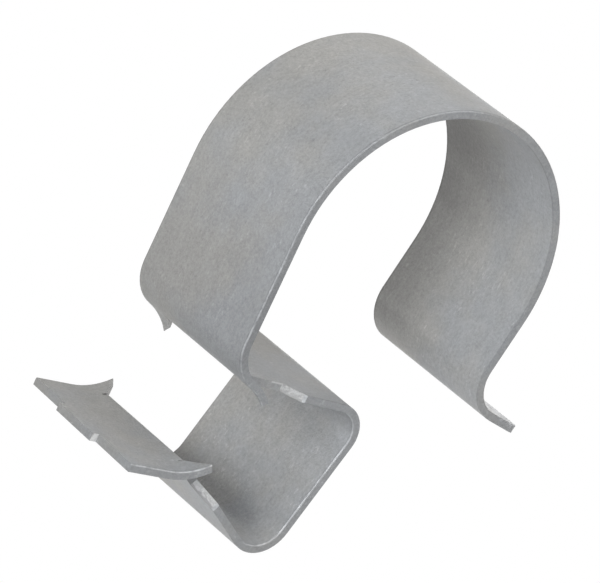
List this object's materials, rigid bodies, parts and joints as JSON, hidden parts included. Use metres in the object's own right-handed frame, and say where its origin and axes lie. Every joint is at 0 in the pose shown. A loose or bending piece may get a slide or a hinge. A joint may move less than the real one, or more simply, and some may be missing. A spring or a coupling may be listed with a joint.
{
  "type": "fixing clamp",
  "caption": "Folded spring steel clamp: an open loop grips a pipe, and the barbed jaw below it pushes onto the edge of a steel flange.",
  "frame": {"origin": "centre of the pipe loop, halfway across the strip's width", "axes": "+Y along the pipe and across the strip, +Z from the jaw up to the crown of the loop, -X out of the mouth of the jaw, so that the flange slides in along +X"},
  "size_m": [0.0446, 0.02, 0.0527],
  "materials": {
    "zinc_steel": "dull galvanised zinc on spring steel, bright at the sheared edges"
  },
  "bodies": {
    "root": {"clamp_strip": "zinc_steel"}
  },
  "joints": []
}
